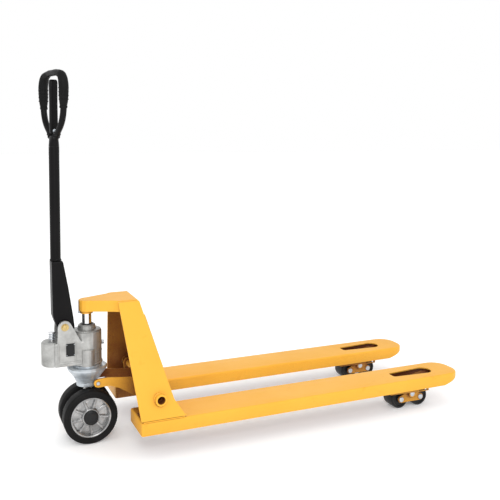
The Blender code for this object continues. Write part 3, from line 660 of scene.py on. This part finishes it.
def make_pump_details():
    """Nuts, rivets, screws, casting ribs and seals on the pump."""
    for sign in (-1, 1):
        head = hex_head(0.0100, 0.0052, 0.0125, 0.0048)
        if sign < 0:
            flip(head)
        piece("pivot_nut_%d" % (sign > 0), head, "zinc_plate", "steering", (-0.0785, sign * 0.0450, 0.395),
              "y", material="brass_pin")
    for i, (y, z) in enumerate(((-0.0463, 0.3015), (-0.0463, 0.3365))):
        for j, x in enumerate((-0.0735, -0.0495)):
            piece("plate_rivet_%d_%d" % (i, j),
                  flip(lathe([(0.0, 0.0008), (0.0008, 0.0007), (0.0013, 0.0003), (0.0014, -0.0002),
                              (0.0, -0.0002)], 20)), "zinc_plate", "steering", (x, y - 0.0001, z), "y")
    piece("filler_cap", hex_head(0.0085, 0.0060, 0.0110), "zinc_plate", "steering", (-0.058, 0.022, 0.3432))
    piece("screw_front", hex_head(0.0052, 0.0038, 0.0066), "zinc_plate", "steering", (-0.036, -0.030, 0.3432))
    ledge = prism([(-0.1035, -0.0470), (-0.0300, -0.0470), (-0.0300, -0.0440), (-0.1035, -0.0440)],
                  0.2735, 0.2795)
    piece("casting_rib", ledge, "cast_silver", "steering", bevel=0.0012)
    for i, x in enumerate((-0.1000, -0.0460)):
        rib = prism([(x - 0.0025, -0.0468), (x + 0.0025, -0.0468), (x + 0.0025, -0.0440),
                     (x - 0.0025, -0.0440)], 0.2790, 0.3420)
        piece("casting_web_%d" % i, rib, "cast_silver", "steering", bevel=0.0012)
    seam = lathe([(0.0487, -0.0012), (0.0497, -0.0006), (0.0497, 0.0006), (0.0487, 0.0012),
                  (0.0470, 0.0012), (0.0470, -0.0012)], 96, True)
    piece("casting_seam", seam, "cast_silver", "steering", (0, 0, 0.300))
    rim = lathe([(0.0487, -0.0035), (0.0512, -0.0022), (0.0516, 0.0012), (0.0502, 0.0032),
                 (0.0460, 0.0038), (0.0450, -0.0035)], 96, True)
    piece("cylinder_foot", rim, "cast_silver", "steering", (0, 0, 0.2625))
    wiper = lathe([(0.0180, 0.3901), (0.0215, 0.3901), (0.0215, 0.3912), (0.0192, 0.3918),
                   (0.0180, 0.3912)], 64, True)
    piece("wiper_seal", wiper, "black_plastic", "steering")
    shoulder = lathe([(0.0450, 0.3708), (0.0462, 0.3712), (0.0458, 0.3724), (0.0420, 0.3730),
                      (0.0320, 0.3732), (0.0310, 0.3708)], 96, True)
    piece("cylinder_lip", shoulder, "cast_silver", "steering")


TORSION_X, TORSION_Z = 0.188, 0.180
ROCKER_PIN_X, ROCKER_PIN_Z = 0.026, 0.197


def plate_y(z):
    """How far out a side plate's outer face is at height z."""
    return 0.083 + (0.470 - z) * 0.173 / 0.350


def make_frame_details():
    """Weld beads on the frame, and the washers and plugs of the rocker."""
    for side, sign in SIDES:
        low = 0.1235
        half = plate_y(low)
        weld_bead("heel_weld_" + side, (0.124, sign * (half - 0.008), low - 0.0005),
                  (0.258, sign * (half - 0.008), low - 0.0005), 0.0032, "fork_frame")
        weld_bead("foot_weld_" + side, (0.126, sign * (half - 0.0010), low - 0.0030),
                  (0.262, sign * (half - 0.0010), low - 0.0030), 0.0024, "fork_frame")
        weld_bead("back_weld_" + side, (0.242, sign * (half - 0.010), low + 0.012),
                  (0.173, sign * 0.096, 0.425), 0.0026, "fork_frame")
        weld_bead("heel_cross_weld_" + side, (0.2458, sign * 0.112, 0.1215),
                  (0.2458, sign * 0.236, 0.1215), 0.0030, "fork_frame")
        y = sign * plate_y(TORSION_Z)
        ring = lathe([(0.0192, -0.0030), (0.0216, -0.0016), (0.0216, 0.0016), (0.0192, 0.0030)], 56, True)
        piece("bush_weld_" + side, ring, "yellow_paint", "fork_frame",
              (TORSION_X, y + sign * 0.001, TORSION_Z), "y")
        clip = lathe([(0.0062, -0.0008), (0.0098, -0.0008), (0.0098, 0.0008), (0.0062, 0.0008)], 40, True)
        piece("rocker_washer_" + side, clip, "zinc_plate", "rocker",
              (ROCKER_PIN_X, sign * 0.0430, ROCKER_PIN_Z), "y")
        plug = lathe([(0.0, 0.0010), (0.0050, 0.0010), (0.0088, 0.0003), (0.0088, -0.004), (0.0, -0.004)],
                     40)
        if sign < 0:
            flip(plug)
        piece("tube_plug_" + side, plug, "black_plastic", "rocker",
              (TORSION_X, sign * 0.2080, TORSION_Z), "y")
    for y in (-0.050, 0.050):
        weld_bead("bracket_weld_%d" % (y > 0), (0.1585, y * 1.44, 0.4365),
                  (0.1585, y * 0.2, 0.4365), 0.0022, "fork_frame")


# ---- carried-over CAD nodes ---------------------------------------------------------------
SLOT_OF = {entry["node"]: entry["material_slot"] for entry in frame["record"]["subparts"]}
ROUNDED = {"side_plate": 0.0014, "top_bracket": 0.0012, "rocker_arm": 0.0010, "push_lever": 0.0008,
           "roller_frame": 0.0008, "tandem_link": 0.0008, "valve_lever": 0.0006,
           "back_plate": 0.0010, "push_rod": 0.0008}


def dress_nodes():
    """Gives every CAD node its finish, and the plate parts rounded edges."""
    for name, obj in NODES.items():
        obj.data.materials.clear()
        obj.data.materials.append(MATS[SLOT_OF[name]])
        obj.data.shade_smooth()
        obj.data.set_sharp_from_angle(angle=math.radians(32.0))
        for start, width in ROUNDED.items():
            if name.startswith(start):
                round_edges(obj, width, 2, 40.0)


# ---- stage --------------------------------------------------------------------------------
def make_stage():
    """A white floor and surroundings, with three soft lamps."""
    bm = bmesh.new()
    bmesh.ops.create_grid(bm, x_segments=1, y_segments=1, size=40.0)
    mesh = bpy.data.meshes.new("floor")
    bm.to_mesh(mesh)
    bm.free()
    floor = bpy.data.objects.new("floor", mesh)
    floor.location = (0, 0, -0.0005)
    bpy.context.scene.collection.objects.link(floor)
    mat = bpy.data.materials.new("floor")
    mat.use_nodes = True
    shader = mat.node_tree.nodes["Principled BSDF"]
    shader.inputs["Base Color"].default_value = (0.94, 0.94, 0.94, 1.0)
    shader.inputs["Roughness"].default_value = 0.9
    shader.inputs["Emission Color"].default_value = (1.0, 1.0, 1.0, 1.0)
    shader.inputs["Emission Strength"].default_value = 0.18
    mesh.materials.append(mat)

    world = bpy.data.worlds.new("studio")
    world.use_nodes = True
    back = world.node_tree.nodes["Background"]
    back.inputs["Color"].default_value = (1.0, 1.0, 1.0, 1.0)
    back.inputs["Strength"].default_value = 1.0
    bpy.context.scene.world = world
    bpy.context.scene.view_settings.view_transform = "Standard"

    for name, location, energy, size in (("key", (-1.2, -3.8, 2.6), 70.0, 1.6),
                                         ("fill", (3.4, -3.0, 3.0), 14.0, 3.0),
                                         ("rim", (1.0, 3.6, 3.0), 8.0, 3.0)):
        light = bpy.data.lights.new(name, "AREA")
        light.energy = energy
        light.size = size
        lamp = bpy.data.objects.new(name, light)
        lamp.location = location
        aim = Vector((0.0, 0.0, 0.3)) - lamp.location
        lamp.rotation_euler = aim.to_track_quat("-Z", "Y").to_euler()
        bpy.context.scene.collection.objects.link(lamp)


def make_camera():
    """Yaw is measured from +Y towards +X and pitch upwards, both in radians."""
    yaw, pitch = 0.4109, -0.0522
    data = bpy.data.cameras.new("camera")
    data.lens = 51.26
    data.sensor_width = 36.0
    data.shift_y = -0.1504
    camera = bpy.data.objects.new("camera", data)
    look = Vector((math.sin(yaw) * math.cos(pitch), math.cos(yaw) * math.cos(pitch), math.sin(pitch)))
    right = Vector((math.cos(yaw), -math.sin(yaw), 0.0))
    up = right.cross(look)
    turn = Matrix((right, up, -look)).transposed().to_4x4()
    camera.matrix_world = Matrix.Translation((-0.4416 + X0, -2.3908, 1.0146)) @ turn
    bpy.context.scene.collection.objects.link(camera)
    bpy.context.scene.camera = camera


dress_nodes()
for side, sign in SIDES:
    make_fork(side, sign)
    make_steer_wheel(side, sign)
    make_load_rollers(side, sign)
make_handle()
make_pump_spring()
make_pump_details()
make_frame_details()
make_stage()
make_camera()
